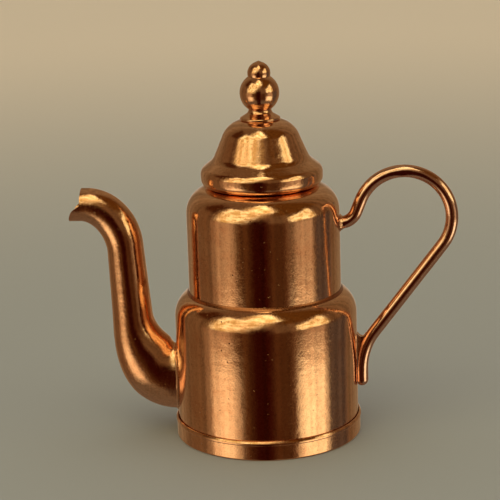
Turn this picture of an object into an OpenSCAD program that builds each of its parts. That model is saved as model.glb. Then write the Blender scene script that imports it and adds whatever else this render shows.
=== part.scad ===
// Miniature copper coffee pot: two stacked drums on a shallow tray, a swan-neck spout,
// a bent wire handle and a lift-off lid with a turned finial.
// Millimetres, +Z up. The origin is the centre of the underside, the spout points along -X.

/* [Base tray] */
// Height of the band round the foot
tray_h = 3.15; // [2:0.05:5]
// Thickness of the tray's sheet
tray_sheet = 0.4; // [0.3:0.05:0.6]
// Radius of the bead along the band's top edge
tray_bead = 0.26; // [0.22:0.02:0.4]
// Rounding of the tray's lower corner
tray_corner = 0.3; // [0.1:0.05:0.6]

/* [Drums] */
// Outer radius of the lower drum
lower_r = 14.5; // [13.6:0.1:16]
// Height of the lower drum's shoulder above the table
lower_h = 23.95; // [22:0.05:28]
// Outer radius of the lower drum's shoulder bend
lower_bend = 4.25; // [3.4:0.05:5]
// Outer radius of the upper drum
upper_r = 12.1; // [11.4:0.05:12.6]
// Height of the upper drum above the lower drum's shoulder
upper_h = 16.55; // [14:0.05:20]
// Outer radius of the upper drum's shoulder bend
upper_bend = 4.2; // [3.4:0.05:4.4]
// Thickness of the drums' sheet
drum_sheet = 0.5; // [0.4:0.05:0.7]
// Length of the upper drum's skirt below the seam
skirt_len = 2; // [1:0.1:4]
// Radius of the filling mouth
mouth_r = 7.3; // [6.6:0.05:7.4]

/* [Strainer] */
// Radius of each hole pierced behind the spout
strainer_hole_r = 0.65; // [0.4:0.05:0.8]
// Distance from the middle hole to the holes round it
strainer_pitch = 2.1; // [1.8:0.05:2.3]
// Number of holes round the middle one
strainer_count = 6; // [4:1:6]

/* [Spout] */
// Height of the spout's root on the drum
spout_root_h = 10.9; // [9.6:0.1:11.4]
// Breadth of the spout's root
spout_root_w = 7.8; // [7:0.1:9]
// Gap between the band round the foot and the spout's underside
spout_sill = 0.4; // [0.4:0.05:1.5]
// Reach of the lower bend, from the drum's wall to the neck
spout_bend_reach = 7.05; // [6.5:0.05:8]
// Rise of the lower bend
spout_bend_rise = 10.9; // [10.2:0.1:12]
// Depth of the tube where the lower bend ends
spout_neck_d = 6.45; // [6:0.1:7.4]
// Height of the neck above the lower bend
spout_neck_h = 10.6; // [8:0.1:13]
// Outward lean of the neck, in degrees
spout_lean = 3.4; // [0:0.2:6]
// Diameter of the tube at the top of the neck
spout_throat_d = 5.85; // [5.4:0.1:6.6]
// Reach of the top bend, from the neck to the mouth
spout_top_reach = 6.65; // [6:0.05:9]
// Rise of the top bend
spout_top_rise = 7.7; // [6:0.1:9]
// Extra depth of the tube half way round the top bend
spout_swell = 0.5; // [0:0.05:1]
// Diameter of the tube at the mouth
spout_mouth_d = 5.3; // [5:0.1:6.2]
// Length of the pouring lip beyond the mouth's square cut
spout_lip = 2; // [1.5:0.1:3]
// Height of the notch between mouth and lip above the tube's middle
spout_notch_h = 0.3; // [-0.5:0.1:0.8]
// Bulge of the lip's edge beyond a straight slant
spout_lip_bulge = 0.4; // [0:0.05:0.6]
// Thickness of the spout's sheet
spout_sheet = 0.45; // [0.35:0.05:0.6]

/* [Handle] */
// Diameter of the handle's wire
wire_d = 2; // [1.6:0.05:2.4]
// Distance from the top of the upper drum down to the wire's upper end
handle_drop = 6.25; // [5.6:0.05:9]
// Radius of the first bend, to the middle of the wire
handle_rise_bend = 2.75; // [2:0.05:4]
// Slope of the wire between its first bend and the loop, in degrees
handle_rise_angle = 68; // [55:1:80]
// Straight length between the first bend and the loop
handle_rise_len = 2.05; // [0.5:0.05:4]
// Radius of the loop, to the middle of the wire
handle_loop = 7.35; // [6:0.05:8.5]
// Slope of the long straight, in degrees
handle_fall_angle = 52.8; // [46:0.2:60]
// Radius of the bend above the foot
handle_foot_bend = 10.4; // [7:0.1:12]
// Length of the straight foot
handle_foot_len = 1.8; // [1:0.1:4]
// Depth of the flat filed on the foot
handle_foot_flat = 0.3; // [0.1:0.05:0.5]

/* [Lid] */
// Radius of the lid's rim
lid_r = 9.6; // [9:0.05:10.4]
// Height of the rim's roll
lid_rim_h = 2.7; // [2.2:0.05:3.4]
// Rounding under the rim
lid_rim_under = 1.3; // [0.9:0.05:1.35]
// Rounding of the rim's upper edge
lid_rim_edge = 1.4; // [0.8:0.05:1.6]
// Radius of the lid where the flare meets the crown
lid_waist_r = 7.56; // [7:0.02:8]
// Height of that waist above the seat
lid_waist_h = 4.3; // [4:0.05:5]
// Radius of the crown's shoulder
lid_crown_r = 5.35; // [5:0.05:6]
// Height of the crown's shoulder above the seat
lid_crown_h = 9.45; // [8.6:0.05:9.8]
// Height of the finial's seat above the lid's seat
lid_h = 10.3; // [10:0.05:11.5]
// Radius of the finial's flat seat
lid_top_r = 3.3; // [3.2:0.05:3.6]
// Rounding of the hollow at the waist
lid_waist_round = 2; // [1:0.1:3]
// Rounding of the crown's shoulder
lid_crown_round = 3.5; // [2.5:0.1:4]
// Rounding of the hollow round the finial's seat
lid_seat_round = 1; // [0.5:0.1:1.5]
// Thickness of the lid's sheet
lid_sheet = 0.5; // [0.4:0.05:0.6]
// Length of the bezel's collar inside the mouth
bezel_len = 3; // [2:0.1:5]
// Thickness of the bezel's sheet
bezel_sheet = 0.45; // [0.35:0.05:0.6]
// Width of the bezel's flange outside its collar
bezel_flange = 1.1; // [0.7:0.05:1.2]

/* [Finial] */
// Radius of the finial's skirt
skirt_r = 3.15; // [2.7:0.05:3.2]
// Height of the skirt's edge
skirt_h = 0.4; // [0.35:0.05:0.8]
// Rounding of the skirt's edge
skirt_round = 0.16; // [0.1:0.02:0.2]
// Height of the skirt's slope up to the neck
skirt_slope_h = 0.8; // [0.6:0.05:1]
// Radius of the neck
neck_r = 1.8; // [1.4:0.05:2]
// Rounding of the hollow between slope and neck
neck_round = 0.7; // [0.3:0.05:1]
// Radius of the large ball
ball_r = 3.1; // [2.8:0.05:3.4]
// Height of the large ball's middle above the finial's seat
ball_z = 4.2; // [4:0.05:5]
// Radius of the small ball
tip_r = 1.8; // [1.4:0.05:2]
// Height of the small ball's middle above the finial's seat
tip_z = 7.25; // [7:0.05:7.8]
// Height of the finial's point above its seat
finial_h = 9.2; // [9.2:0.05:10.2]
// Radius of the stud that fastens the finial
stud_r = 1; // [0.7:0.05:1.2]
// Radius of the stud's hammered head
stud_head_r = 1.6; // [1.4:0.05:1.8]
// Thickness of the hammered head
stud_head_h = 0.6; // [0.4:0.05:1]
// Radius of the washer inside the crown
washer_r = 2.4; // [2:0.05:2.6]
// Thickness of the washer
washer_h = 0.5; // [0.3:0.05:0.8]

/* [Solder] */
// Width of the solder fillet along the drums' seam
seam_leg = 0.3; // [0.2:0.05:0.5]
// Width of the solder fillet round the spout's root
spout_leg = 0.34; // [0.2:0.02:0.34]
// Width of the solder fillet round the handle's upper end
handle_leg = 0.45; // [0.3:0.05:0.7]
// Thickness of the solder web above the handle's foot
web_w = 1.3; // [0.8:0.1:1.6]
// Height of the solder web above the straight foot
web_h = 6; // [4:0.05:7]
// Sag of the web's upper edge between the wall and the wire
web_sag = 0.55; // [0.2:0.05:0.7]

/* [Fits] */
// Gap between soldered curved faces
solder_gap = 0.03; // [0.02:0.01:0.06]
// Gap round the lid's collar in the mouth
lid_gap = 0.15; // [0.1:0.01:0.3]

/* [Hidden] */
$fn = 96;

// Sides and steps of the swept tubes
spout_sides = 32;
spout_bend_steps = 17;
spout_neck_steps = 5;
spout_top_steps = 14;
wire_sides = 24;
wire_bend_step = 5;
web_steps = 6;
lip_steps = 6;
fillet_steps = 48;

// How far the spout's tube is carried into the drum before it is cut to the wall
root_depth = 2;
// Angle round the lower bend where the tube starts to taper
taper_from = 28;
// Angles of the stations round the rounded lower end of the wire
end_angles = [0, 30, 55, 75, 88];

copper = "#b9683c";
dark_copper = "#8f4a2b";
solder = "#a85a34";

// Heights of the stack
drum_top = lower_h + upper_h;
crown_top = drum_top + lid_h;
full_h = crown_top + finial_h;

// Height of a drum's shoulder at radius x, for a drum of radius r, top z and bend b
function shoulder_z(x, r, z, b) = z - b + sqrt(b * b - pow(x - (r - b), 2));
seam_z = shoulder_z(upper_r, lower_r, lower_h, lower_bend);

// Smooth step from 0 to 1
function ease(x) = let(t = min(max(x, 0), 1)) t * t * (3 - 2 * t);

// Points of an arc round c, from angle a to angle b
function arc(c, r, a, b, n) = [for (i = [0:n], t = [a + (b - a) * i / n]) c + r * [cos(t), sin(t)]];

// Rounded corner at point q between points p and s: n + 1 points on an arc of radius r
function unit(v) = v / norm(v);
function corner(p, q, s, r, n = 8) =
    let(u = unit(p - q), v = unit(s - q), half = acos(u * v) / 2,
        c = q + unit(u + v) * r / sin(half), from = q + u * r / tan(half), to = q + v * r / tan(half),
        a = atan2(from.y - c.y, from.x - c.x), turn = atan2(to.y - c.y, to.x - c.x) - a,
        sweep = turn > 180 ? turn - 360 : turn < -180 ? turn + 360 : turn)
    arc(c, r, a, a + sweep, n);

// Outline point q moved inwards by d, between points p and s of an outline that runs anticlockwise
function inset(p, q, s, d) =
    let(u = unit(q - p), v = unit(s - q), m = [-u.y, u.x], n = [-v.y, v.x])
    q + (m + n) * d / (1 + m * n);

// ---- Base tray ----

module base_tray() {
    inner_r = lower_r + solder_gap;
    outer_r = inner_r + tray_sheet;
    color(copper) rotate_extrude() {
        difference() {
            union() {
                square([outer_r - tray_corner, tray_sheet]);
                translate([outer_r - tray_corner, tray_corner]) circle(tray_corner);
                translate([inner_r, tray_corner]) square([tray_sheet, tray_h - tray_bead - tray_corner]);
                translate([outer_r - tray_bead, tray_h - tray_bead]) circle(tray_bead);
            }
            translate([0, tray_sheet]) square([inner_r, tray_h]);
        }
    }
}

// ---- Drums ----

module cup_outline(r, h, bend) {
    square([r - bend, h]);
    square([r, h - bend]);
    translate([r - bend, h - bend]) circle(bend);
}

module cup(r, bottom, top, bend, sheet, hole_r) {
    rotate_extrude() difference() {
        translate([0, bottom]) cup_outline(r, top - bottom, bend);
        translate([0, bottom - sheet]) cup_outline(r - sheet, top - bottom, bend - sheet);
        square([hole_r, 2 * top]);
    }
}

module strainer_holes() {
    angles = [for (i = [0:strainer_count - 1]) 360 * i / strainer_count];
    spots = concat([[0, 0]], [for (a = angles) strainer_pitch * [cos(a), sin(a)]]);
    for (p = spots) {
        translate([-lower_r - drum_sheet, p.x, spout_z + p.y])
            rotate([0, 90, 0]) cylinder(r = strainer_hole_r, h = 4 * drum_sheet, $fn = 32);
    }
}

module lower_drum() {
    color(copper) difference() {
        cup(lower_r, tray_sheet, lower_h, lower_bend, drum_sheet, upper_r + solder_gap);
        strainer_holes();
    }
}

module upper_drum() {
    color(copper) cup(upper_r, seam_z - skirt_len, drum_top, upper_bend, drum_sheet, mouth_r);
}

module seam_solder() {
    inner_r = upper_r + solder_gap;
    outer_r = inner_r + seam_leg;
    low_in = shoulder_z(inner_r, lower_r, lower_h, lower_bend) + solder_gap;
    low_out = shoulder_z(outer_r, lower_r, lower_h, lower_bend) + solder_gap;
    color(solder) rotate_extrude()
        polygon([[inner_r, low_in], [outer_r, low_out], [inner_r, low_in + seam_leg]]);
}

// ---- Spout ----
// The tube's middle line runs through a quarter ellipse, a straight leaning neck and a second bend.
// A station is [distance from the axis, height, tilt, half depth, half breadth].

spout_z = tray_h + spout_sill + spout_root_h / 2;
bend_x = lower_r + spout_leg;
bend_a = spout_bend_reach - spout_leg;
bend_end = 90 - spout_lean / 2;
neck_x = bend_x + bend_a * sin(bend_end);
neck_z = spout_z + spout_bend_rise * (1 - cos(bend_end));
throat_x = neck_x + spout_neck_h * sin(spout_lean);
throat_z = neck_z + spout_neck_h * cos(spout_lean);
top_x = throat_x + spout_top_reach * cos(spout_lean);
top_z = throat_z - spout_top_rise * sin(spout_lean);
mouth_z = top_z + spout_top_rise;

// Depth and breadth of the tube in the lower bend, at angle t round the ellipse
function root_taper(t) = 1 - ease((t - taper_from) / (90 - taper_from));
function bend_depth(t) = spout_neck_d + (spout_root_h - spout_neck_d) * root_taper(t);
function bend_breadth(t) = spout_neck_d + (spout_root_w - spout_neck_d) * root_taper(t);

function root_stations() =
    [for (x = [bend_x - root_depth, bend_x - root_depth / 2])
        [x, spout_z, 0, spout_root_h / 2, spout_root_w / 2]];

function bend_stations() =
    [for (i = [0:spout_bend_steps], at = [i * bend_end / spout_bend_steps])
        [bend_x + bend_a * sin(at), spout_z + spout_bend_rise * (1 - cos(at)),
         at * (90 - spout_lean) / bend_end, bend_depth(at) / 2, bend_breadth(at) / 2]];

function neck_stations() =
    [for (i = [1:spout_neck_steps], q = [i / spout_neck_steps])
        let(d = spout_neck_d + (spout_throat_d - spout_neck_d) * q)
        [neck_x + (throat_x - neck_x) * q, neck_z + (throat_z - neck_z) * q, 90 - spout_lean, d / 2, d / 2]];

function top_stations() =
    [for (i = [1:spout_top_steps], q = [i / spout_top_steps])
        let(w = spout_lean + (90 - spout_lean) * q, d = spout_throat_d + (spout_mouth_d - spout_throat_d) * q)
        [top_x - spout_top_reach * cos(w), top_z + spout_top_rise * sin(w),
         90 - w, (d + spout_swell * sin(180 * q)) / 2, d / 2]];

function lip_stations() =
    [for (x = [top_x + spout_lip / 2, top_x + 2 * spout_lip])
        [x, mouth_z, 0, spout_mouth_d / 2, spout_mouth_d / 2]];

spout_stations = concat(root_stations(), bend_stations(), neck_stations(), top_stations(), lip_stations());

function spout_ring(s, inset) =
    [for (i = [0:spout_sides - 1])
        let(a = 360 * i / spout_sides, up = (s[3] - inset) * cos(a), across = (s[4] - inset) * sin(a))
        [up * sin(s[2]) - s[0], across, s[1] + up * cos(s[2])]];

// Closed tube of triangles through rings of points, with flat ends
// With strip_ends the end faces are strips from the first half of a ring to its second half
module loft(rings, strip_ends = false) {
    n = len(rings[0]);
    last = len(rings) - 1;
    sides = [for (j = [0:last - 1], i = [0:n - 1])
        let(a = j * n + i, b = j * n + (i + 1) % n) each [[a, b + n, b], [a, a + n, b + n]]];
    end = strip_ends ? [for (i = [0:n / 2 - 2]) each [[i, i + 1, n - 2 - i], [i, n - 2 - i, n - 1 - i]]]
                     : [[for (i = [0:n - 1]) i]];
    far_end = [for (face = end) [for (i = [len(face) - 1:-1:0]) last * n + face[i]]];
    polyhedron([for (ring = rings) each ring], concat(sides, end, far_end));
}

// Edge of the lip seen from the side, from the notch out and down to the tip
function lip_edge() =
    let(notch = [top_x, mouth_z + spout_notch_h],
        tip = [top_x + spout_lip, mouth_z - spout_mouth_d / 2 + spout_sheet],
        across = unit([notch.y - tip.y, tip.x - notch.x]))
    [for (i = [0:lip_steps], q = [i / lip_steps])
        notch + (tip - notch) * q + across * spout_lip_bulge * sin(180 * q)];

module mouth_cut() {
    far = 3 * spout_lip;
    edge = lip_edge();
    tip = edge[lip_steps];
    rotate([90, 0, 0]) linear_extrude(2 * spout_root_w, center = true) mirror([1, 0])
        polygon(concat([[top_x, mouth_z + far]], edge, [[tip.x, mouth_z - far], [tip.x + far, mouth_z - far],
                       [tip.x + far, mouth_z + far]]));
}

module spout() {
    color(copper) difference() {
        loft([for (s = spout_stations) spout_ring(s, 0)]);
        loft([for (s = spout_stations) spout_ring(s, spout_sheet)]);
        cylinder(r = lower_r + solder_gap, h = lower_h);
        mouth_cut();
    }
}

// Ring of solder with a three-cornered section, where a tube of the given half height and half
// breadth leaves the wall of a drum of radius r at height z. side is -1 or 1 along X, and
// tip_gap is the ring's gap from the tube at its tip.
module fillet_ring(r, z, half_h, half_w, leg, side, tip_gap = solder_gap) {
    n = fillet_steps;
    wall = r + solder_gap;
    function on_wall(a, grow, out) =
        let(y = (half_w + grow) * cos(a), x = sqrt(wall * wall - y * y) + out)
        [side * x, y, z + (half_h + grow) * sin(a)];
    points = [for (i = [0:n - 1], a = [360 * i / n])
        each [on_wall(a, solder_gap, solder_gap), on_wall(a, leg, solder_gap), on_wall(a, tip_gap, leg)]];
    faces = [for (i = [0:n - 1], k = [0:2])
        let(here = 3 * i, next = 3 * ((i + 1) % n), turned = (k + 1) % 3,
            a = here + k, b = here + turned, c = next + turned, d = next + k)
        each side > 0 ? [[a, c, d], [a, b, c]] : [[a, d, c], [a, c, b]]];
    polyhedron(points, faces);
}

module spout_solder() {
    color(solder) fillet_ring(lower_r, spout_z, spout_root_h / 2, spout_root_w / 2, spout_leg, -1);
}

// ---- Handle ----
// The wire's middle line lies in the XZ plane. Points are [x, z].

function heading(a) = [cos(a), sin(a)];
function right_of(a) = [sin(a), -cos(a)];

wire_r = wire_d / 2;
handle_z = drum_top - handle_drop;
rise_centre = [upper_r, handle_z + handle_rise_bend];
rise_end = rise_centre + handle_rise_bend * right_of(handle_rise_angle);
loop_start = rise_end + handle_rise_len * heading(handle_rise_angle);
loop_centre = loop_start + handle_loop * right_of(handle_rise_angle);
loop_end = loop_centre + handle_loop * right_of(handle_fall_angle);
foot_x = lower_r + wire_r - handle_foot_flat;
fall_len = (loop_end.x - foot_x - handle_foot_bend * (1 - sin(handle_fall_angle))) / cos(handle_fall_angle);
fall_end = loop_end - fall_len * heading(handle_fall_angle);
foot_centre = fall_end + handle_foot_bend * right_of(handle_fall_angle);
foot_top = foot_centre.y;
foot_z = foot_top - handle_foot_len;

// A station of the wire is [x, z, heading, radius].

function bend_line(c, bend, from, to, turn) =
    let(n = ceil(abs(to - from) / wire_bend_step))
    [for (i = [0:n])
        let(h = from + (to - from) * i / n, p = c - turn * bend * right_of(h)) [p.x, p.y, h, wire_r]];

function upper_wire() = concat(
    [[upper_r - wire_r, handle_z, 0, wire_r]],
    bend_line(rise_centre, handle_rise_bend, 0, handle_rise_angle, -1),
    bend_line(loop_centre, handle_loop, handle_rise_angle, handle_fall_angle - 180, 1));

function foot_wire() = concat(
    bend_line(foot_centre, handle_foot_bend, handle_fall_angle - 180, -90, -1),
    [for (a = end_angles) [foot_x, foot_z - wire_r * sin(a), -90, wire_r * cos(a)]]);

function wire_ring(s, grow) =
    [for (i = [0:wire_sides - 1])
        let(a = 360 * i / wire_sides, up = (s[3] + grow) * cos(a), across = (s[3] + grow) * sin(a))
        [s[0] - up * sin(s[2]), -across, s[1] + up * cos(s[2])]];

module wire(stations, grow = 0) {
    loft([for (s = stations) wire_ring(s, grow)]);
}

module handle() {
    color(copper) difference() {
        wire(concat(upper_wire(), foot_wire()));
        cylinder(r = upper_r + solder_gap, h = drum_top);
        cylinder(r = lower_r + solder_gap, h = lower_h - lower_bend);
    }
}

module handle_top_solder() {
    bend_away = handle_leg * handle_leg / (2 * handle_rise_bend);
    color(solder) fillet_ring(upper_r, handle_z, wire_r, wire_r, handle_leg, 1, solder_gap + bend_away);
}

// Section of the web at y: up the wire, then back across the sagging upper edge to the wall
function web_ring(y) =
    let(wall = sqrt(pow(lower_r + solder_gap, 2) - y * y),
        reach = handle_foot_bend + sqrt(pow(wire_r + solder_gap, 2) - y * y),
        far = foot_centre.x - sqrt(reach * reach - web_h * web_h))
    [for (i = [0:web_steps], x = [wall + (far - wall) * i / web_steps])
         [x, y, foot_top + sqrt(reach * reach - pow(foot_centre.x - x, 2))],
     for (i = [web_steps:-1:0], q = [i / web_steps])
         [wall + (far - wall) * q, y, foot_top + web_h + solder_gap - web_sag * sin(180 * q)]];

module handle_foot_solder() {
    color(solder) loft([for (i = [web_steps:-1:-web_steps]) web_ring(web_w / 2 * i / web_steps)], true);
}

// ---- Lid ----

function lid_corners() = [
    [mouth_r, drum_top], [lid_r, drum_top], [lid_r, drum_top + lid_rim_h],
    [lid_waist_r, drum_top + lid_waist_h], [lid_crown_r, drum_top + lid_crown_h],
    [lid_top_r, crown_top], [0, crown_top]];

// The lid's outline, with every line moved inwards by d and every round kept tangent to its lines
function lid_outline(d) =
    let(p = lid_corners(), last = len(p) - 1,
        q = [for (i = [1:last - 1]) inset(p[i - 1], p[i], p[i + 1], d)],
        from = [p[0].x, p[0].y + d], to = [0, p[last].y - d])
    concat([from],
           corner(from, q[0], q[1], lid_rim_under - d),
           corner(q[0], q[1], q[2], lid_rim_edge - d),
           corner(q[1], q[2], q[3], lid_waist_round + d),
           corner(q[2], q[3], q[4], lid_crown_round - d),
           corner(q[3], q[4], to, lid_seat_round + d),
           [to]);

module lid_shell() {
    outer = lid_outline(0);
    inner = lid_outline(lid_sheet);
    color(copper) difference() {
        rotate_extrude() polygon(concat(outer, [for (i = [len(inner) - 1:-1:0]) inner[i]]));
        cylinder(r = stud_r + solder_gap, h = 2 * full_h);
    }
}

module lid_bezel() {
    collar_r = mouth_r - lid_gap;
    seat = drum_top + lid_sheet;
    color(dark_copper) rotate_extrude() {
        translate([collar_r - bezel_sheet, drum_top - bezel_len]) {
            square([bezel_sheet, bezel_len + lid_sheet]);
        }
        translate([collar_r - bezel_sheet, seat]) square([bezel_sheet + bezel_flange, bezel_sheet]);
    }
}

// ---- Finial ----

slope_top = skirt_h + skirt_slope_h;
stud_top = -lid_sheet - washer_h;
tip_angle = acos(min(tip_r / (finial_h - tip_z), 1));

// Outline of the skirt and neck, from the seat up to the middle of the large ball
function skirt_outline() =
    let(seat = [0, 0], low = [skirt_r, 0], high = [skirt_r, skirt_h],
        root = [neck_r, slope_top], top = [neck_r, ball_z])
    concat([seat], corner(seat, low, high, skirt_round), corner(low, high, root, skirt_round),
           corner(high, root, top, neck_round), [top, [0, ball_z]]);

module finial() {
    color(copper) translate([0, 0, crown_top]) rotate_extrude() intersection() {
        union() {
            translate([0, stud_top - stud_head_h]) square([stud_head_r, stud_head_h]);
            translate([0, stud_top]) square([stud_r, -stud_top]);
            polygon(skirt_outline());
            translate([0, ball_z]) circle(ball_r);
            translate([0, tip_z]) circle(tip_r);
            polygon([[0, tip_z], [tip_r * sin(tip_angle), tip_z + tip_r * cos(tip_angle)], [0, finial_h]]);
        }
        translate([0, stud_top - stud_head_h]) square([2 * skirt_r, 2 * finial_h]);
    }
}

module finial_washer() {
    color(dark_copper) translate([0, 0, crown_top + stud_top]) difference() {
        cylinder(r = washer_r, h = washer_h);
        translate([0, 0, -washer_h]) cylinder(r = stud_r + solder_gap, h = 3 * washer_h);
    }
}

base_tray();
lower_drum();
upper_drum();
seam_solder();
spout();
spout_solder();
handle();
handle_top_solder();
handle_foot_solder();
lid_shell();
lid_bezel();
finial();
finial_washer();
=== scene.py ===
# %% [markdown]
# # A miniature copper coffee pot
# The pot is a collector's miniature, 60 mm high. Every piece of it is made the way a
# coppersmith would make the real thing: sheet turned on a lathe, a tube swept round two
# bends, a wire bent round a peg, and solder run into the corners.
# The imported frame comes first, because every piece rides on one of its bodies.

# %% Load the frame
import math

import bmesh
import bpy
from mathutils import Matrix, Vector, noise


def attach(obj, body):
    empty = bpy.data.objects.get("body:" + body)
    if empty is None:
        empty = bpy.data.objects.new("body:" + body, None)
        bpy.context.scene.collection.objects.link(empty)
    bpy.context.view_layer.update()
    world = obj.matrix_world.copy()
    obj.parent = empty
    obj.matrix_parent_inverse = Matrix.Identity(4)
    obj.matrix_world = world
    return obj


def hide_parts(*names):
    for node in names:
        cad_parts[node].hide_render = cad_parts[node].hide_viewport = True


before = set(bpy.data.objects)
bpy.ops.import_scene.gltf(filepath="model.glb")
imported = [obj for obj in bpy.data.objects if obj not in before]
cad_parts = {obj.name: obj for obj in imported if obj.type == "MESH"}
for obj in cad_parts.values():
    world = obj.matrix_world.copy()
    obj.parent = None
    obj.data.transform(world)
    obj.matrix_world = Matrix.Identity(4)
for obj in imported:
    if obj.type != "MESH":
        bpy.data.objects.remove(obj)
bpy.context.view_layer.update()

# %% [markdown]
# ## Sizes
# A turned piece is known by its radii and heights. They are written once, in millimetres,
# as a maker's drawing gives them, and the helpers below turn them into metres.

# %% Sizes in millimetres
MM = 0.001
TRAY_H, TRAY_SHEET = 3.15, 0.4
LOWER_R, LOWER_H, LOWER_BEND = 14.5, 23.95, 4.25
UPPER_R, UPPER_H, UPPER_BEND = 12.1, 16.55, 4.2
DRUM_SHEET, SKIRT_LEN, MOUTH_R = 0.5, 2.0, 7.3
LID_SHEET, BEZEL_SHEET = 0.5, 0.45
GAP, STUD_R, LID_H = 0.03, 1.0, 10.3
DRUM_TOP = LOWER_H + UPPER_H
CROWN_TOP = DRUM_TOP + LID_H


def shoulder_height(x, radius, top, bend):
    """Height of a drum's rounded shoulder at the radius x."""
    return top - bend + math.sqrt(bend ** 2 - (x - (radius - bend)) ** 2)


SEAM_Z = shoulder_height(UPPER_R, LOWER_R, LOWER_H, LOWER_BEND)
print(f"drums meet at {SEAM_Z:.2f} mm, mouth at {DRUM_TOP:.2f} mm")

# %% [markdown]
# ## The camera
# The camera stands a few pot heights away and looks down a little. A long lens keeps the
# drums' ellipses shallow. It is made before the pieces, so that any piece can be looked at
# as soon as it is there. The small roll is the lean of a camera held by hand, and the lens
# is shifted because the pot stands a little off the middle of the frame.

# %% Camera
AIM = Vector((0, 0, 31.6)) * MM
DISTANCE = 276.5 * MM
ELEVATION, AZIMUTH, ROLL = map(math.radians, (14.15, 6.0, -1.68))
SENSOR, LENS, FRAME_SIDE = 36.0, 126.0, 500
CENTRE_X, CENTRE_Y = 263.7, 239.2

camera_data = bpy.data.cameras.new("camera")
camera_data.sensor_width = SENSOR
camera_data.lens = LENS
camera_data.clip_start = 0.01
camera_data.shift_x = (FRAME_SIDE / 2 - CENTRE_X) / FRAME_SIDE
camera_data.shift_y = (CENTRE_Y - FRAME_SIDE / 2) / FRAME_SIDE
camera = bpy.data.objects.new("camera", camera_data)
bpy.context.scene.collection.objects.link(camera)
bpy.context.scene.camera = camera

toward_camera = Vector((math.sin(AZIMUTH) * math.cos(ELEVATION),
                        -math.cos(AZIMUTH) * math.cos(ELEVATION), math.sin(ELEVATION)))
look = (-toward_camera).to_track_quat("-Z", "Y").to_matrix().to_4x4()
stand = Matrix.Translation(AIM + toward_camera * DISTANCE)
camera.matrix_world = stand @ look @ Matrix.Rotation(ROLL, 4, "Z")
print("camera at", [round(v, 4) for v in camera.matrix_world.translation])

# %% [markdown]
# ## Turning sheet on a lathe
# The tray, the drums, the lid and its knob are all turned. Each starts as a flat outline of
# a few corners; bevelling a corner point rounds it, and a full spin makes the solid. A
# cylinder primitive with bevelled edges would also do for a drum, but an outline holds the
# shoulder's true radius and works for the bell of the lid as well.

# %% Outline, spin and wall
TURN_STEPS = 180
ROUND_STEPS = 10
WELD, JOIN = 0.0005 * MM, 0.002 * MM


def outline(corners, closed=False):
    """A wire outline from corners of (radius, height, rounding)."""
    bm = bmesh.new()
    points = [bm.verts.new((r * MM, 0, z * MM)) for r, z, _ in corners]
    for a, b in zip(points, points[1:]):
        bm.edges.new((a, b))
    if closed:
        bm.edges.new((points[-1], points[0]))
    for point, (_, _, rounding) in zip(points, corners):
        if rounding:
            a, b = (edge.other_vert(point).co - point.co for edge in point.link_edges)
            reach = rounding * MM / math.tan(a.angle(b) / 2)
            bmesh.ops.bevel(bm, geom=[point], offset=reach, offset_type="OFFSET", segments=ROUND_STEPS,
                            profile=0.5, affect="VERTICES", material=-1)
    return bm


def turned(bm):
    """The outline spun once round the pot's axis."""
    bmesh.ops.spin(bm, geom=bm.verts[:] + bm.edges[:], cent=(0, 0, 0), axis=(0, 0, 1), angle=math.tau,
                   steps=TURN_STEPS, use_merge=True)
    bmesh.ops.remove_doubles(bm, verts=bm.verts, dist=WELD)
    bmesh.ops.recalc_face_normals(bm, faces=bm.faces)
    return bm


def walled(bm, sheet):
    """An open skin given its sheet's thickness, inwards."""
    bmesh.ops.solidify(bm, geom=bm.faces[:], thickness=sheet * MM)
    return bm


def place(bm, name, body, nodes, material, sharp=40):
    """The mesh as an object of the scene, riding on its body and standing for its CAD nodes."""
    mesh = bpy.data.meshes.new(name)
    bm.to_mesh(mesh)
    bm.free()
    mesh.shade_smooth()
    mesh.set_sharp_from_angle(angle=math.radians(sharp))
    mesh.materials.append(material)
    made = bpy.data.objects.new(name, mesh)
    bpy.context.scene.collection.objects.link(made)
    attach(made, body)
    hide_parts(*nodes)
    print(f"{name}: {len(mesh.polygons)} faces, {[round(v / MM, 2) for v in made.dimensions]} mm")
    return made


# %% [markdown]
# ## Shader maths as Python
# A wrapped socket can be added, multiplied or compared in plain Python, and each operation
# puts one Math node in the tree. Any other node is made by one method.

# %% The socket wrapper
class Flow:
    """A shader socket that takes part in Python expressions."""

    def __init__(self, tree, socket=None):
        self.tree, self.socket = tree, socket

    def node(self, kind, settings=None, sockets=None, out=0):
        """A new node: its settings first, then the values or links of its sockets."""
        made = self.tree.nodes.new(kind)
        for name, value in (settings or {}).items():
            setattr(made, name, value)
        for name, value in (sockets or {}).items():
            if isinstance(value, Flow):
                self.tree.links.new(value.socket, made.inputs[name])
            else:
                made.inputs[name].default_value = value
        return Flow(self.tree, made.outputs[out])

    def math(self, operation, a, b=0.0):
        """A Math node on one or two values."""
        return self.node("ShaderNodeMath", {"operation": operation}, {0: a, 1: b})

    def __add__(self, other):
        return self.math("ADD", self, other)

    def __radd__(self, other):
        return self.math("ADD", other, self)

    def __sub__(self, other):
        return self.math("SUBTRACT", self, other)

    def __rsub__(self, other):
        return self.math("SUBTRACT", other, self)

    def __mul__(self, other):
        return self.math("MULTIPLY", self, other)

    def __rmul__(self, other):
        return self.math("MULTIPLY", other, self)

    def between(self, low, high):
        """0 below low, 1 above high and a smooth step between."""
        return self.node("ShaderNodeMapRange", {"interpolation_type": "SMOOTHSTEP"},
                         {"Value": self, "From Min": low, "From Max": high})

    def mixed(self, a, b):
        """Colour a where this is 0 and colour b where it is 1."""
        return self.node("ShaderNodeMix", {"data_type": "RGBA"}, {0: self, 6: a, 7: b}, out=2)

    def scaled(self, gain):
        """This colour made brighter or darker by a gain."""
        return self.node("ShaderNodeVectorMath", {"operation": "SCALE"}, {0: self, "Scale": gain})


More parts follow.
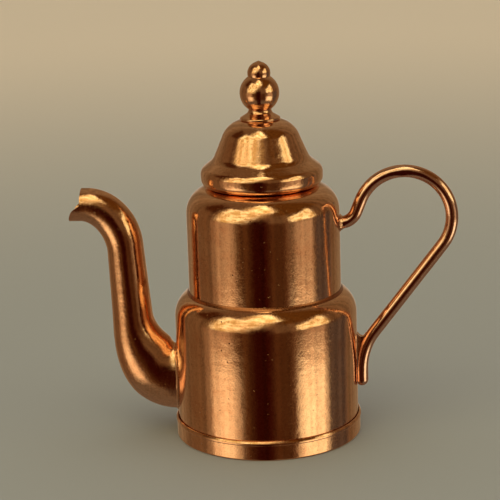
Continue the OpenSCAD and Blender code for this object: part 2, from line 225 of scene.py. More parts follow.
# %% [markdown]
# ## Polished copper
# Real polished copper is never a perfect mirror. A close look shows a fine pebbled grain
# that breaks the edge of every highlight, faint scratches from the polishing cloth, and a few
# dark specks where the polish has not reached. The grain and scratches are bump, because
# they change the reflection and not the outline. All patterns read Object coordinates in
# millimetres, so they stay on the piece as it moves.

# %% Copper
def copper(name, tint, rough, pebble, dimples, turning, specks):
    """Metal with pebbled grain, slow dimples, lathe lines and dark specks, each with its own strength."""
    material = bpy.data.materials.new(name)
    material.use_nodes = True
    tree = material.node_tree
    shader = tree.nodes["Principled BSDF"]
    flow = Flow(tree)
    spot = flow.node("ShaderNodeTexCoord", out="Object")

    def noise_at(scale, detail=2.0, stretch=(1, 1, 1), turn=(0, 0, 0)):
        """Noise with the given number of features in a millimetre."""
        where = flow.node("ShaderNodeMapping", sockets={"Vector": spot, "Rotation": turn,
                                                        "Scale": [1000 * scale * s for s in stretch]})
        return flow.node("ShaderNodeTexNoise", sockets={"Vector": where, "Scale": 1.0, "Detail": detail})

    grain = noise_at(3.6, 2.0)
    mottle = noise_at(1.1, 3.0)
    slow = noise_at(0.75, 1.0)
    lines = noise_at(3.2, 2.0, stretch=(0.07, 0.07, 1))
    scratch = noise_at(0.9, 2.0, stretch=(1, 12, 12), turn=(0.5, 0.7, 0.2))
    patch = noise_at(0.2, 3.0)
    pit = noise_at(1.7, 1.0).between(0.76, 0.79) * specks

    dull = patch.between(0.38, 0.72) * 0.6 + mottle.between(0.42, 0.68) * 0.4
    colour = dull.mixed((*tint, 1), (tint[0] * 0.9, tint[1] * 0.78, tint[2] * 0.72, 1))
    colour = grain.between(0.25, 0.5).mixed(colour.scaled(0.8), colour)
    colour = pit.mixed(colour, (0.12, 0.035, 0.012, 1))
    roughness = rough + 0.08 * dull + 0.1 * grain.between(0.35, 0.75) + 0.2 * pit
    height = pebble * grain + dimples * slow + turning * lines + 0.3 * pebble * scratch - 0.03 * pit

    tree.links.new(colour.socket, shader.inputs["Base Color"])
    tree.links.new(roughness.socket, shader.inputs["Roughness"])
    shader.inputs["Metallic"].default_value = 1.0
    bump = flow.node("ShaderNodeBump", sockets={"Height": height, "Strength": 1.0, "Distance": MM})
    tree.links.new(bump.socket, shader.inputs["Normal"])
    return material


COPPER, ROSY_COPPER, DARK_COPPER = (0.9, 0.55, 0.34), (0.92, 0.6, 0.46), (0.62, 0.33, 0.2)
# The seam's dark solder colour is painted shade of the crease where the drums meet.
SOLDER, SEAM_SHADE_SOLDER = (0.92, 0.6, 0.4), (0.42, 0.17, 0.08)
drum_copper = copper("polished_copper", COPPER, rough=0.04, pebble=0.007, dimples=0.017,
                     turning=0.0005, specks=1.0)
lid_copper = copper("lid_copper", COPPER, rough=0.04, pebble=0.01, dimples=0.04, turning=0.0005, specks=0.6)
knob_copper = copper("knob_copper", COPPER, rough=0.04, pebble=0.01, dimples=0.02, turning=0.002, specks=0.2)
spout_copper = copper("spout_copper", COPPER, rough=0.05, pebble=0.013, dimples=0.03, turning=0.0, specks=0.5)
wire_copper = copper("wire_copper", ROSY_COPPER, rough=0.04, pebble=0.006, dimples=0.012,
                     turning=0.0, specks=0.2)
inner_copper = copper("inner_copper", DARK_COPPER, rough=0.32, pebble=0.03, dimples=0.04,
                      turning=0.02, specks=1.0)
solder_metal = copper("solder", SOLDER, rough=0.1, pebble=0.012, dimples=0.1, turning=0.0, specks=0.3)
# Painted shade: the seam's solder is made dark and rough to stand for the shade in the crease between the
# drums.
seam_shade_solder_metal = copper("seam_solder", SEAM_SHADE_SOLDER, rough=0.25, pebble=0.01, dimples=0.02,
                    turning=0.0, specks=0.3)
print("metals:", [m.name for m in bpy.data.materials if m.name.endswith(("copper", "solder"))])

# %% [markdown]
# ## The base tray
# The drum stands in a shallow tray with a beaded edge, pressed from thinner sheet. It is one
# closed outline, so that the spin gives the sheet its thickness at once. Under the bead the
# wall steps in a little, which gives the bead its own thin line of light.

# %% Base tray
tray_in = LOWER_R + GAP
tray_out = tray_in + TRAY_SHEET
BEAD_STEP, BEAD_H, BEAD_GAP, BEAD_SIDE, BEAD_TOP = 0.1, 0.6, 0.07, 0.32, 0.2
step_r = tray_out - BEAD_STEP
tray = turned(outline([(0, 0, 0), (step_r, 0, 0.3), (step_r, TRAY_H - BEAD_H - BEAD_STEP, 0.05),
                       (tray_out, TRAY_H - BEAD_H, 0.1), (tray_out, TRAY_H - BEAD_SIDE, 0.12),
                       (tray_out - BEAD_TOP, TRAY_H, 0.12), (tray_in + BEAD_GAP, TRAY_H, 0.03),
                       (tray_in, TRAY_H - BEAD_H, 0), (tray_in, TRAY_SHEET, 0), (0, TRAY_SHEET, 0)]))
place(tray, "foot_tray", "pot", ["base_tray"], drum_copper)

# %% [markdown]
# ## The two drums
# Each drum is a cup turned upside down: a straight wall, a round shoulder and a flat top
# with a hole. The lower drum's hole is cut through its shoulder, where the upper drum
# passes through, so its outline is bisected at that radius before the spin.

# %% Drums
def cup(radius, foot, top, bend, hole):
    """The skin of a drum, its outline cut off at the hole."""
    bm = outline([(radius, foot, 0), (radius, top, bend), (hole - bend, top, 0)])
    bmesh.ops.bisect_plane(bm, geom=bm.verts[:] + bm.edges[:], plane_co=(hole * MM, 0, 0),
                           plane_no=(-1, 0, 0), clear_outer=True)
    return walled(turned(bm), DRUM_SHEET)


lower = cup(LOWER_R, TRAY_SHEET, LOWER_H, LOWER_BEND, UPPER_R + GAP)
upper = cup(UPPER_R, SEAM_Z - SKIRT_LEN, DRUM_TOP, UPPER_BEND, MOUTH_R)
place(upper, "upper_cup", "pot", ["upper_drum"], drum_copper)

# %% [markdown]
# ## The seam
# Solder runs into the corner between the drums and leaves a small hollow fillet. It is a
# closed outline of three corners, with the middle of its outer side pulled in. The solder is
# real, but its dark, rough metal is painted shade: it stands for the shade in the crease
# between the drums.

# %% Seam
SEAM_LEG, SEAM_HOLLOW, SEAM_SLOPE = 0.3, 0.35, 0.7
seam_in = UPPER_R + GAP
seam_out = seam_in + SEAM_LEG
seam_low = shoulder_height(seam_in, LOWER_R, LOWER_H, LOWER_BEND) + GAP
seam_foot = shoulder_height(seam_out, LOWER_R, LOWER_H, LOWER_BEND) + GAP
hollow = SEAM_HOLLOW * SEAM_LEG
seam = turned(outline([(seam_in, seam_low, 0), (seam_out, seam_foot, 0),
                       (seam_in + hollow, seam_low + hollow * SEAM_SLOPE, 0.2),
                       (seam_in, seam_low + SEAM_LEG, 0)], closed=True))
place(seam, "seam_bead", "pot", ["seam_solder"], seam_shade_solder_metal)

# %% [markdown]
# ## The swan-neck spout
# The spout is a tube that leaves the drum level, turns up, leans out along a straight neck and
# turns over to its mouth. A curve object with a bevel could give a tube of one thickness, but
# this one is deep at its root and slim at its neck. So one ring is extruded from station to
# station, and each new ring is moved, turned and stretched to its own size.

# %% Spout stations
SPOUT_SIDES = 64
ROOT_H, ROOT_W, SILL = 10.9, 7.8, 0.4
BEND_REACH, BEND_RISE, TAPER_FROM = 7.05, 10.9, 28.0
NECK_D, NECK_H, LEAN, THROAT_D = 6.45, 10.6, 3.4, 5.85
TOP_REACH, TOP_RISE, SWELL = 6.65, 7.7, 0.5
MOUTH_D, LIP, NOTCH_H, LIP_BULGE, SPOUT_SHEET = 5.3, 2.0, 0.3, 0.4, 0.45
ROOT_LEG = 0.34
spout_z = TRAY_H + SILL + ROOT_H / 2
bend_x = LOWER_R + ROOT_LEG
bend_a = BEND_REACH - ROOT_LEG
bend_end = 90 - LEAN / 2


def sind(a):
    return math.sin(math.radians(a))


def cosd(a):
    return math.cos(math.radians(a))


def root_taper(t):
    """1 at the root, easing to 0 where the neck begins."""
    x = min(max((t - TAPER_FROM) / (90 - TAPER_FROM), 0), 1)
    return 1 - x * x * (3 - 2 * x)


neck_x, neck_z = bend_x + bend_a * sind(bend_end), spout_z + BEND_RISE * (1 - cosd(bend_end))
throat_x, throat_z = neck_x + NECK_H * sind(LEAN), neck_z + NECK_H * cosd(LEAN)
top_x, top_z = throat_x + TOP_REACH * cosd(LEAN), throat_z - TOP_RISE * sind(LEAN)
mouth_z = top_z + TOP_RISE

# A station is (distance from the axis, height, tilt, half depth, half breadth).
ROOT_INSET, BEND_RINGS, NECK_RINGS, TOP_RINGS = 0.7, 25, 6, 24
stations = [(LOWER_R - ROOT_INSET, spout_z, 0, ROOT_H / 2, ROOT_W / 2)]
for i in range(BEND_RINGS + 1):
    t = bend_end * i / BEND_RINGS
    depth, breadth = (NECK_D + (wide - NECK_D) * root_taper(t) for wide in (ROOT_H, ROOT_W))
    stations.append((bend_x + bend_a * sind(t), spout_z + BEND_RISE * (1 - cosd(t)),
                     t * (90 - LEAN) / bend_end, depth / 2, breadth / 2))
for i in range(1, NECK_RINGS + 1):
    q = i / NECK_RINGS
    d = NECK_D + (THROAT_D - NECK_D) * q
    stations.append((neck_x + (throat_x - neck_x) * q, neck_z + (throat_z - neck_z) * q,
                     90 - LEAN, d / 2, d / 2))
for i in range(1, TOP_RINGS - 1):
    q = i / TOP_RINGS
    w = LEAN + (90 - LEAN) * q
    d = THROAT_D + (MOUTH_D - THROAT_D) * q
    stations.append((top_x - TOP_REACH * cosd(w), top_z + TOP_RISE * sind(w), 90 - w,
                     (d + SWELL * sind(180 * q)) / 2, d / 2))
print(f"spout: {len(stations)} stations, mouth at x {-top_x:.2f}, z {mouth_z:.2f}")


# %% [markdown]
# ## The strainer
# Behind the spout the lower drum's wall is pierced with seven small holes, which let the
# coffee out and hold the grounds back. A maker drills them before the spout goes on. Here
# seven pins are taken away from the wall by a Boolean modifier, which is applied at once, so
# that no pin is left in the scene. A line is cut round the drum above and below them first,
# because the holes then change only the short faces that the spout's root covers. The lines
# also keep the smooth normals of the long wall upright, up to the last stretch below the shoulder.

# %% Strainer
HOLE_R, HOLE_PITCH, HOLES_ROUND, HOLE_SIDES, HOLE_BAND = 0.65, 2.1, 6, 32, 3.2
PIN_LENGTH = 4 * DRUM_SHEET


def drilled(bm, pins):
    """The solid with the pins taken away from it."""
    work, tool = (bpy.data.objects.new(name, bpy.data.meshes.new(name)) for name in ("work", "tool"))
    for made, shape in ((work, bm), (tool, pins)):
        shape.to_mesh(made.data)
        shape.free()
        bpy.context.scene.collection.objects.link(made)
    cut = work.modifiers.new("holes", "BOOLEAN")
    cut.operation, cut.solver, cut.object = "DIFFERENCE", "EXACT", tool
    bpy.context.view_layer.update()
    result = bmesh.new()
    result.from_object(work, bpy.context.evaluated_depsgraph_get())
    for made in (work, tool):
        mesh = made.data
        bpy.data.objects.remove(made)
        bpy.data.meshes.remove(mesh)
    return result


for z in (spout_z - HOLE_BAND, spout_z + HOLE_BAND):
    bmesh.ops.bisect_plane(lower, geom=lower.verts[:] + lower.edges[:] + lower.faces[:],
                           plane_co=(0, 0, z * MM), plane_no=(0, 0, 1))
pins = bmesh.new()
for i in range(HOLES_ROUND + 1):
    turn, out = 360 * i / HOLES_ROUND, HOLE_PITCH if i else 0
    spot = Vector((-LOWER_R, out * cosd(turn), spout_z + out * sind(turn))) * MM
    across_wall = Matrix.Translation(spot) @ Matrix.Rotation(math.radians(90), 4, "Y")
    bmesh.ops.create_cone(pins, cap_ends=True, segments=HOLE_SIDES, radius1=HOLE_R * MM, radius2=HOLE_R * MM,
                          depth=PIN_LENGTH * MM, matrix=across_wall)
place(drilled(lower, pins), "lower_cup", "pot", ["lower_drum"], drum_copper)

# %% [markdown]
# ## The spout's tube and mouth
# The mouth is cut square above a notch, and below it the lip runs on to a tip. The rim's
# points keep their height, and each is pushed out as far as the lip reaches at that height.

# %% Spout
def ring_matrix(station):
    """Unit circle to a station's ring."""
    x, z, tilt, half_depth, half_breadth = station
    return Matrix.Scale(MM, 4) @ Matrix(((half_depth * sind(tilt), 0, -cosd(tilt), -x),
                                         (0, half_breadth, 0, 0),
                                         (half_depth * cosd(tilt), 0, sind(tilt), z),
                                         (0, 0, 0, 1)))


def points_and_edges(grown):
    """What an operator made, sorted into points and edges."""
    return ([g for g in grown if isinstance(g, bmesh.types.BMVert)],
            [g for g in grown if isinstance(g, bmesh.types.BMEdge)])


def extruded(bm, edges):
    """The ring that grows out of these edges: its points and its edges."""
    return points_and_edges(bmesh.ops.extrude_edge_only(bm, edges=edges)["geom"])


HALVINGS = 24


def lip_reach(z):
    """How far the rim stands out beyond the square cut, at the height z."""
    notch, tip = Vector((0, mouth_z + NOTCH_H)), Vector((LIP, mouth_z - MOUTH_D / 2 + SPOUT_SHEET))
    if z >= notch.y:
        return 0.0
    across = Vector((notch.y - tip.y, tip.x - notch.x)).normalized()
    low, high = 0.0, 1.0
    for _ in range(HALVINGS):
        q = (low + high) / 2
        point = notch.lerp(tip, q) + across * LIP_BULGE * sind(180 * q)
        low, high = (q, high) if point.y > z else (low, q)
    return point.x


spout = bmesh.new()
ring = bmesh.ops.create_circle(spout, cap_ends=False, segments=SPOUT_SIDES, radius=1.0)["verts"]
edges = spout.edges[:]
bmesh.ops.transform(spout, matrix=ring_matrix(stations[0]), verts=ring)
for before, after in zip(stations, stations[1:]):
    ring, edges = extruded(spout, edges)
    bmesh.ops.transform(spout, matrix=ring_matrix(after) @ ring_matrix(before).inverted(), verts=ring)
LIP_RINGS, RIM_SETBACK = 6, 0.35
last = stations[-1]
for i in range(1, LIP_RINGS + 1):
    q = i / LIP_RINGS
    ring, edges = extruded(spout, edges)
    if i == 1:
        mouth = (top_x, mouth_z, 0, MOUTH_D / 2, MOUTH_D / 2)
        bmesh.ops.transform(spout, matrix=ring_matrix(mouth) @ ring_matrix(last).inverted(), verts=ring)
        rest = [v.co.copy() for v in ring]
        reach = [lip_reach(v.co.z / MM) for v in ring]
    for v, home, out in zip(ring, rest, reach):
        v.co = home - Vector(((out * q - RIM_SETBACK * (1 - q)) * MM, 0, 0))
bmesh.ops.recalc_face_normals(spout, faces=spout.faces)
walled(spout, SPOUT_SHEET)
for v in spout.verts:
    if math.hypot(v.co.x, v.co.y) < (LOWER_R + GAP) * MM:
        v.co.x = -math.sqrt(((LOWER_R + GAP) * MM) ** 2 - v.co.y ** 2)
place(spout, "swan_neck", "pot", ["spout"], spout_copper)

# %% [markdown]
# ## Solder round the roots
# Where the spout and the handle meet the drums, solder makes a hollow fillet that is a
# little lumpy. Each fillet is a ring of four corners that follows the tube's root on the
# round wall: a circle is extruded round the section and bridged back to its start.

# %% Root fillets
BEAD_STEPS, FILLET_HOLLOW, LUMP, LUMPS_ROUND = 72, 0.45, 0.22, 4


def root_bead(name, node, wall_r, z, half_h, half_w, leg, side, tip_gap=GAP):
    """A fillet round a tube of the given half height and half width, on a drum's wall."""
    bm = bmesh.new()
    ring = bmesh.ops.create_circle(bm, cap_ends=False, segments=BEAD_STEPS, radius=1.0)["verts"]
    first = edges = bm.edges[:]
    unit = [v.co.copy() for v in ring]
    for grow, out in ((GAP, GAP), (leg, GAP), (FILLET_HOLLOW * leg, FILLET_HOLLOW * leg), (tip_gap, leg)):
        if (grow, out) != (GAP, GAP):
            ring, edges = extruded(bm, edges)
        for v, u in zip(ring, unit):
            bump = noise.noise(Vector((u.x * LUMPS_ROUND, u.y * LUMPS_ROUND, z)))
            lump = 1 + LUMP * bump * (grow > GAP or out > GAP)
            y = (half_w + grow * lump) * u.x
            x = math.sqrt((wall_r + GAP) ** 2 - y * y) + out * lump
            v.co = Vector((side * x, y, z + (half_h + grow * lump) * u.y)) * MM
    bmesh.ops.bridge_loops(bm, edges=first + edges)
    bmesh.ops.recalc_face_normals(bm, faces=bm.faces)
    return place(bm, name, "pot", [node], solder_metal, sharp=80)


root_bead("spout_fillet", "spout_solder", LOWER_R, spout_z, ROOT_H / 2, ROOT_W / 2, ROOT_LEG, -1)

# %% [markdown]
# ## The wire handle
# The handle is one length of 2 mm wire, bent cold. The script bends it as a maker does: an
# extrude for each straight and a spin about a peg for each bend. The filed foot
# lies flat on the lower drum, so the points that would be inside the wall are moved onto it.

# %% Handle
WIRE_R, WIRE_SIDES = 1.0, 32
HANDLE_DROP, RISE_BEND, RISE_ANGLE, RISE_LEN = 6.25, 2.75, 68.0, 2.05
LOOP_R, FALL_ANGLE, FOOT_BEND, FOOT_LEN, FOOT_FLAT = 7.35, 52.8, 10.4, 1.8, 0.3
BEND_STEP, TENON, FOOT_ROUNDS = 4.0, 0.4, (0, 25, 45, 62, 78)
handle_z = DRUM_TOP - HANDLE_DROP
wire = bmesh.new()
end = bmesh.ops.create_circle(wire, cap_ends=False, segments=WIRE_SIDES, radius=WIRE_R * MM)["verts"]
bmesh.ops.rotate(wire, cent=(0, 0, 0), matrix=Matrix.Rotation(math.radians(90), 3, "Y"), verts=end)
bmesh.ops.translate(wire, vec=Vector((UPPER_R - TENON, 0, handle_z)) * MM, verts=end)
edges = wire.edges[:]
at, heading = Vector((UPPER_R - TENON, handle_z)), 0.0


def straight(length):
    """The wire's end pushed on along its heading."""
    global end, edges, at
    step = Vector((cosd(heading), sind(heading))) * length
    end, edges = extruded(wire, edges)
    bmesh.ops.translate(wire, vec=Vector((step.x, 0, step.y)) * MM, verts=end)
    at = at + step


def bend(radius, angle):
    """The wire's end spun about a peg: a positive angle bends it to the left, seen from the front."""
    global end, edges, at, heading
    left = Vector((-sind(heading), cosd(heading))) * math.copysign(radius, angle)
    peg = at + left
    spun = bmesh.ops.spin(wire, geom=end + edges, cent=Vector((peg.x, 0, peg.y)) * MM, axis=(0, -1, 0),
                          angle=math.radians(angle), steps=math.ceil(abs(angle) / BEND_STEP))["geom_last"]
    end, edges = points_and_edges(spun)
    heading += angle
    at = peg + Matrix.Rotation(math.radians(angle), 2) @ -left


straight(TENON)
bend(RISE_BEND, RISE_ANGLE)
straight(RISE_LEN)
bend(LOOP_R, -(RISE_ANGLE + 180 - FALL_ANGLE))
foot_x = LOWER_R + WIRE_R - FOOT_FLAT
straight((at.x - foot_x - FOOT_BEND * (1 - sind(FALL_ANGLE))) / cosd(FALL_ANGLE))
bend(FOOT_BEND, 90 - FALL_ANGLE)
foot_top = at.y
straight(FOOT_LEN)
for low, high in zip(FOOT_ROUNDS, FOOT_ROUNDS[1:]):
    straight(WIRE_R * (sind(high) - sind(low)))
    bmesh.ops.scale(wire, vec=(cosd(high) / cosd(low), cosd(high) / cosd(low), 1), verts=end,
                    space=Matrix.Translation(-Vector((at.x, 0, at.y)) * MM))
bmesh.ops.holes_fill(wire, edges=wire.edges, sides=0)
bmesh.ops.recalc_face_normals(wire, faces=wire.faces)
for v in wire.verts:
    wall = (LOWER_R if v.co.z < LOWER_H * MM else UPPER_R) + GAP
    if math.hypot(v.co.x, v.co.y) < wall * MM:
        v.co.x = math.sqrt((wall * MM) ** 2 - v.co.y ** 2)
print(f"handle: foot at x {at.x:.2f}, from z {foot_top:.2f} down to {at.y:.2f}")
place(wire, "bent_handle", "pot", ["handle"], wire_copper)
HANDLE_LEG = 0.45
root_bead("handle_fillet", "handle_top_solder", UPPER_R, handle_z, WIRE_R, WIRE_R, HANDLE_LEG, 1,
          tip_gap=GAP + HANDLE_LEG ** 2 / (2 * RISE_BEND))

# %% [markdown]
# Above the foot, solder fills the narrow corner between the wall and the wire with a thin
# web. A cube's grid of points is pushed into that corner: one side takes the curve of the
# wall, the other the curve of the wire, and the top sags between them, as solder does.

# %% Solder web
WEB_W, WEB_H, WEB_SAG, WEB_NECK, WEB_CUTS = 1.3, 6.0, 0.55, 0.25, 9
peg_x = foot_x + FOOT_BEND
web = bmesh.new()
bmesh.ops.create_cube(web, size=1)
bmesh.ops.subdivide_edges(web, edges=web.edges, cuts=WEB_CUTS, use_grid_fill=True)
for v in web.verts:
    across, up = v.co.x + 0.5, v.co.z + 0.5
    y = v.co.y * WEB_W * (1 - WEB_NECK * sind(180 * across))
    wall = math.sqrt((LOWER_R + GAP) ** 2 - y * y)
    reach = FOOT_BEND + math.sqrt((WIRE_R + GAP) ** 2 - y * y)
    x = wall + (peg_x - math.sqrt(reach ** 2 - WEB_H ** 2) - wall) * across
    bottom = math.sqrt(reach ** 2 - (peg_x - x) ** 2)
    top = WEB_H + GAP - WEB_SAG * sind(180 * across)
    v.co = Vector((x, y, foot_top + bottom + (top - bottom) * up)) * MM
place(web, "foot_web", "pot", ["handle_foot_solder"], solder_metal)

# %% [markdown]
# ## The lid
# The lid is a bell: a rolled rim, a hollow waist and a domed crown. Under it a collar keeps
# it in the mouth. Both are turned, the shell as a skin that gets a wall, the collar as a
# closed outline.

# %% Lid
RIM_R, RIM_H, WAIST_R, WAIST_H, DOME_R, DOME_H, SEAT_R = 9.6, 2.7, 7.56, 4.3, 5.35, 9.45, 3.3
shell = turned(outline([(MOUTH_R, DRUM_TOP, 0), (RIM_R, DRUM_TOP, 1.3), (RIM_R, DRUM_TOP + RIM_H, 1.4),
                        (WAIST_R, DRUM_TOP + WAIST_H, 2.0), (DOME_R, DRUM_TOP + DOME_H, 3.5),
                        (SEAT_R, CROWN_TOP, 1.0), (STUD_R + GAP, CROWN_TOP, 0)]))
place(walled(shell, LID_SHEET), "lid_bell", "lid", ["lid_shell"], lid_copper)

COLLAR_FIT, COLLAR_DEPTH, FLANGE = 0.15, 3, 1.1
collar_r, seat, collar_foot = MOUTH_R - COLLAR_FIT, DRUM_TOP + LID_SHEET, DRUM_TOP - COLLAR_DEPTH
collar = turned(outline([(collar_r - BEZEL_SHEET, collar_foot, 0.1), (collar_r, collar_foot, 0.1),
                         (collar_r, seat, 0), (collar_r + FLANGE, seat, 0),
                         (collar_r + FLANGE, seat + BEZEL_SHEET, 0.1),
                         (collar_r - BEZEL_SHEET, seat + BEZEL_SHEET, 0.1)], closed=True))
place(collar, "lid_collar", "lid", ["lid_bezel"], inner_copper)

# %% [markdown]
# ## The knob
# The knob is turned from solid bar: a skirt, a short neck, a large ball and a small one with
# a point. Spheres could be stacked, but they would cut through each other, and one outline
# gives one clean skin. Its round parts are arcs, each spun from a single point.

# %% Knob
SKIRT_R, SKIRT_H, SKIRT_ROUND, SLOPE_TOP, NECK_R, NECK_ROUND = 3.15, 0.4, 0.16, 1.2, 1.8, 0.7
BALL_R, BALL_Z, TIP_R, TIP_Z, KNOB_H = 3.1, 4.2, 1.8, 7.25, 9.2
STUD_HEAD_R, STUD_HEAD_H, WASHER_R, WASHER_H = 1.6, 0.6, 2.4, 0.5
stud_top = -LID_SHEET - WASHER_H
ball_foot = BALL_Z - math.sqrt(BALL_R ** 2 - NECK_R ** 2)
meet = ((TIP_Z - BALL_Z) ** 2 + BALL_R ** 2 - TIP_R ** 2) / (2 * (TIP_Z - BALL_Z))
tip_angle = math.degrees(math.acos(TIP_R / (KNOB_H - TIP_Z)))
knob = outline([(0, stud_top - STUD_HEAD_H, 0), (STUD_HEAD_R, stud_top - STUD_HEAD_H, 0.2),
                (STUD_HEAD_R, stud_top, 0.1), (STUD_R, stud_top, 0), (STUD_R, 0, 0),
                (SKIRT_R, 0, SKIRT_ROUND), (SKIRT_R, SKIRT_H, SKIRT_ROUND),
                (NECK_R, SLOPE_TOP, NECK_ROUND), (NECK_R, ball_foot, 0)])


def rise_angle(height, radius):
    """The angle at which an arc of this radius reaches this height above its centre."""
    return math.degrees(math.asin(height / radius))


# An arc is (height of its centre, radius, first angle, last angle, steps).
arcs = ((BALL_Z, BALL_R, rise_angle(ball_foot - BALL_Z, BALL_R), rise_angle(meet, BALL_R), 32),
        (TIP_Z, TIP_R, rise_angle(BALL_Z + meet - TIP_Z, TIP_R), 90 - tip_angle, 20))
for centre, radius, start, stop, steps in arcs:
    point = knob.verts.new(Vector((radius * cosd(start), 0, centre + radius * sind(start))) * MM)
    bmesh.ops.spin(knob, geom=[point], cent=(0, 0, centre * MM), axis=(0, -1, 0),
                   angle=math.radians(stop - start), steps=steps)
knob.verts.ensure_lookup_table()
arc_end = knob.verts[-1]
knob.edges.new((arc_end, knob.verts.new((0, 0, KNOB_H * MM))))
bmesh.ops.remove_doubles(knob, verts=knob.verts, dist=JOIN)
bmesh.ops.translate(knob, vec=(0, 0, CROWN_TOP * MM), verts=knob.verts)
place(turned(knob), "lid_knob", "lid", ["finial"], knob_copper, sharp=30)

washer_z = CROWN_TOP + stud_top
washer = turned(outline([(STUD_R + GAP, washer_z, 0), (WASHER_R, washer_z, 0.12),
                         (WASHER_R, washer_z + WASHER_H, 0),
                         (STUD_R + GAP, washer_z + WASHER_H, 0)], closed=True))
place(washer, "knob_washer", "lid", ["finial_washer"], inner_copper)

# %% [markdown]
# ## The studio
# Metal shows what stands round it more than it shows itself, so the room is painted in the
# world as a few wide areas. A dark front gives the drums their dark middle. Bright areas low
# down on both sides give the tall bands beside it, and the windows of the next cell give
# the golden patches on the shoulders. Every area is there for what it does on the metal.
# An area is where it lies, as a mask from angles in degrees, and its colour. side turns to
# the right from the camera's own direction, and high rises from the level. Later areas lie
# over earlier ones.

# %% World
world = bpy.data.worlds.new("studio")
bpy.context.scene.world = world
world.use_nodes = True
air = Flow(world.node_tree)
background = world.node_tree.nodes["Background"]
split = air.node("ShaderNodeSeparateXYZ", sockets={"Vector": air.node("ShaderNodeTexCoord", out="Generated")})
x, y, z = (Flow(world.node_tree, split.socket.node.outputs[i]) for i in range(3))
ahead = math.sin(AZIMUTH) * x - math.cos(AZIMUTH) * y
aside = math.cos(AZIMUTH) * x + math.sin(AZIMUTH) * y
side = air.math("ARCTAN2", aside, ahead) * math.degrees(1)
high = air.math("ARCSINE", z) * math.degrees(1)


def window(angle, low, high, soft):
    """1 between two angles, fading to 0 over a soft edge."""
    return angle.between(low - soft, low + soft) * (1.0 - angle.between(high - soft, high + soft))


def painted(room, where, colour):
    """The room with one patch of it painted."""
    return where.mixed(room, colour if isinstance(colour, Flow) else (*colour, 1))


away = air.math("ABSOLUTE", side)
below = 1.0 - high.between(-3, 9)
near = 1.0 - high.between(-19, -14)
areas = (
    ("dark upper right", window(side, 20, 108, 8) * high.between(28, 42), (0.1, 0.04, 0.008)),
    ("dark left corner", window(side, -112, -84, 6) * window(high, 26, 56, 6), (0.05, 0.015, 0.004)),
    ("dark front", below * window(side, -42, 114, 10), (0.07, 0.028, 0.01)),
    ("grey door", below * window(side, 82, 118, 6), (0.09, 0.065, 0.05)),
    ("left table", below * side.between(-94, -60) * (1.0 - side.between(-54, -36)), (0.46, 0.31, 0.17)),
    ("right table", below * side.between(28, 64) * (1.0 - side.between(73, 84)), (0.44, 0.31, 0.18)),
    ("near left", near * side.between(-80, -62) * (1.0 - side.between(-54, -26)), (1.2, 0.92, 0.55)),
    ("near right", near * side.between(35, 43) * (1.0 - side.between(72, 88)), (1.25, 1.05, 0.65)),
    ("under the pot", 1.0 - high.between(-44, -30), (0.14, 0.1, 0.065)),
    ("pale wall behind", away.between(158, 176) * window(high, -18, 6, 5), (0.5, 0.45, 0.36)),
    ("dark centre", window(side, -20, 8, 7) * (1.0 - high.between(8, 30)), (0.025, 0.003, 0.001)),
)
room = away.between(105, 150).mixed((0.14, 0.08, 0.038, 1), (0.22, 0.15, 0.08, 1))
for _, where, colour in areas:
    room = painted(room, where, colour)
streak = air.node("ShaderNodeTexNoise", {"noise_dimensions": "1D"},
                  {"W": side * 0.13, "Scale": 1.0, "Detail": 2.0})
room = streak.between(0.36, 0.64).mixed(room.scaled(0.85), room.scaled(1.4))
print("room:", ", ".join(name for name, _, _ in areas))

# %% [markdown]
# Three windows light the room. Each is wide and has soft edges, and the two side ones lean, as
# they do when they are seen from below. Cloud behind the glass makes them uneven.

# %% Windows
cloud = air.node("ShaderNodeTexNoise", sockets={"Vector": air.node("ShaderNodeTexCoord", out="Generated"),
                                                "Scale": 7.0, "Detail": 3.0}).between(0.4, 0.62)
daylight = cloud.mixed((0.85, 0.62, 0.22, 1), (1.7, 1.55, 0.9, 1))
left_lean = side - 1.1 * high
right_lean = high - 0.35 * side
left_window = side.between(-81, -66) * (1.0 - left_lean.between(-66, -26)) * window(high, 4, 55, 3)
right_window = side.between(37, 44) * (1.0 - side.between(80, 88))
right_window = right_window * high.between(3, 8) * (1.0 - right_lean.between(7, 14))
roof_window = side.between(-60, -15) * (1.0 - side.between(12, 34)) * window(high, 50, 86, 3)
room = painted(room, left_window, daylight)
room = painted(room, right_window, daylight)
room = painted(room, roof_window, daylight.scaled(1.35))
world.node_tree.links.new(room.socket, background.inputs["Color"])

# %% [markdown]
# One more lamp, wide and even, lights the floor. It is left out of reflections, because a
# polished pot would show it as a white disc.

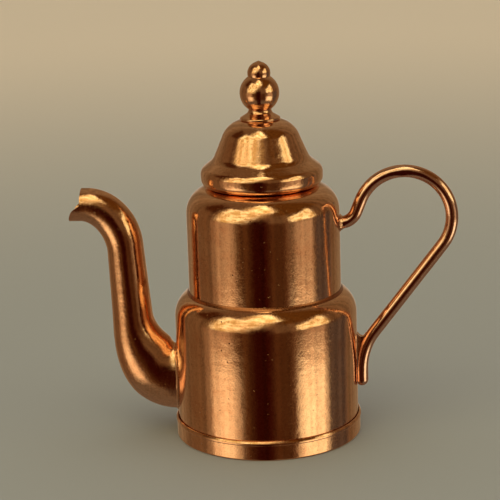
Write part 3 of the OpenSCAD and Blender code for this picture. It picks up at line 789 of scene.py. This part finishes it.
# %% Fill lamp
sky = bpy.data.lights.new("floor_fill", "SUN")
sky.energy, sky.angle, sky.color = 2.0, math.radians(90), (0.97, 1.0, 1.0)
floor_fill = bpy.data.objects.new("floor_fill", sky)
floor_fill.visible_glossy = False
bpy.context.scene.collection.objects.link(floor_fill)

# %% [markdown]
# ## Floor and backdrop
# The floor is plain and pale, a little warmer far off. A pale dome closes the view above it
# from low angles. Both are left out of the metal's reflections.

# %% Floor
def staged(name, bm, material):
    """A part of the stage: seen by the camera and left out of reflections and shadows."""
    mesh = bpy.data.meshes.new(name)
    bm.to_mesh(mesh)
    bm.free()
    mesh.materials.append(material)
    made = bpy.data.objects.new(name, mesh)
    bpy.context.scene.collection.objects.link(made)
    made.visible_glossy = False
    made.visible_shadow = False
    return made


FLOOR_SIZE, NEAR_TONE, FAR_TONE = 2.0, (0.26, 0.265, 0.24, 1), (0.54, 0.46, 0.35, 1)
floor_paint = bpy.data.materials.new("pale_floor")
floor_paint.use_nodes = True
floor_shader = floor_paint.node_tree.nodes["Principled BSDF"]
ground = Flow(floor_paint.node_tree)
out_from_pot = ground.node("ShaderNodeVectorMath", {"operation": "LENGTH"},
                           {0: ground.node("ShaderNodeTexCoord", out="Object")}, out="Value")
tone = out_from_pot.between(0.06, 0.5).mixed(NEAR_TONE, FAR_TONE)
floor_paint.node_tree.links.new(tone.socket, floor_shader.inputs["Base Color"])
floor_shader.inputs["Roughness"].default_value = 0.6
plane = bmesh.new()
bmesh.ops.create_grid(plane, x_segments=1, y_segments=1, size=FLOOR_SIZE)
staged("floor", plane, floor_paint)

dome_paint = bpy.data.materials.new("pale_backdrop")
dome_paint.use_nodes = True
dome_shader = dome_paint.node_tree.nodes["Principled BSDF"]
dome_shader.inputs["Base Color"].default_value = (0, 0, 0, 1)
dome_shader.inputs["Emission Color"].default_value = (0.54, 0.44, 0.28, 1)
dome_shader.inputs["Emission Strength"].default_value = 1.0
dome = bmesh.new()
bmesh.ops.create_uvsphere(dome, u_segments=48, v_segments=24, radius=FLOOR_SIZE)
dome = staged("backdrop", dome, dome_paint)
dome.visible_diffuse = False

bpy.context.scene.view_settings.view_transform = "Standard"
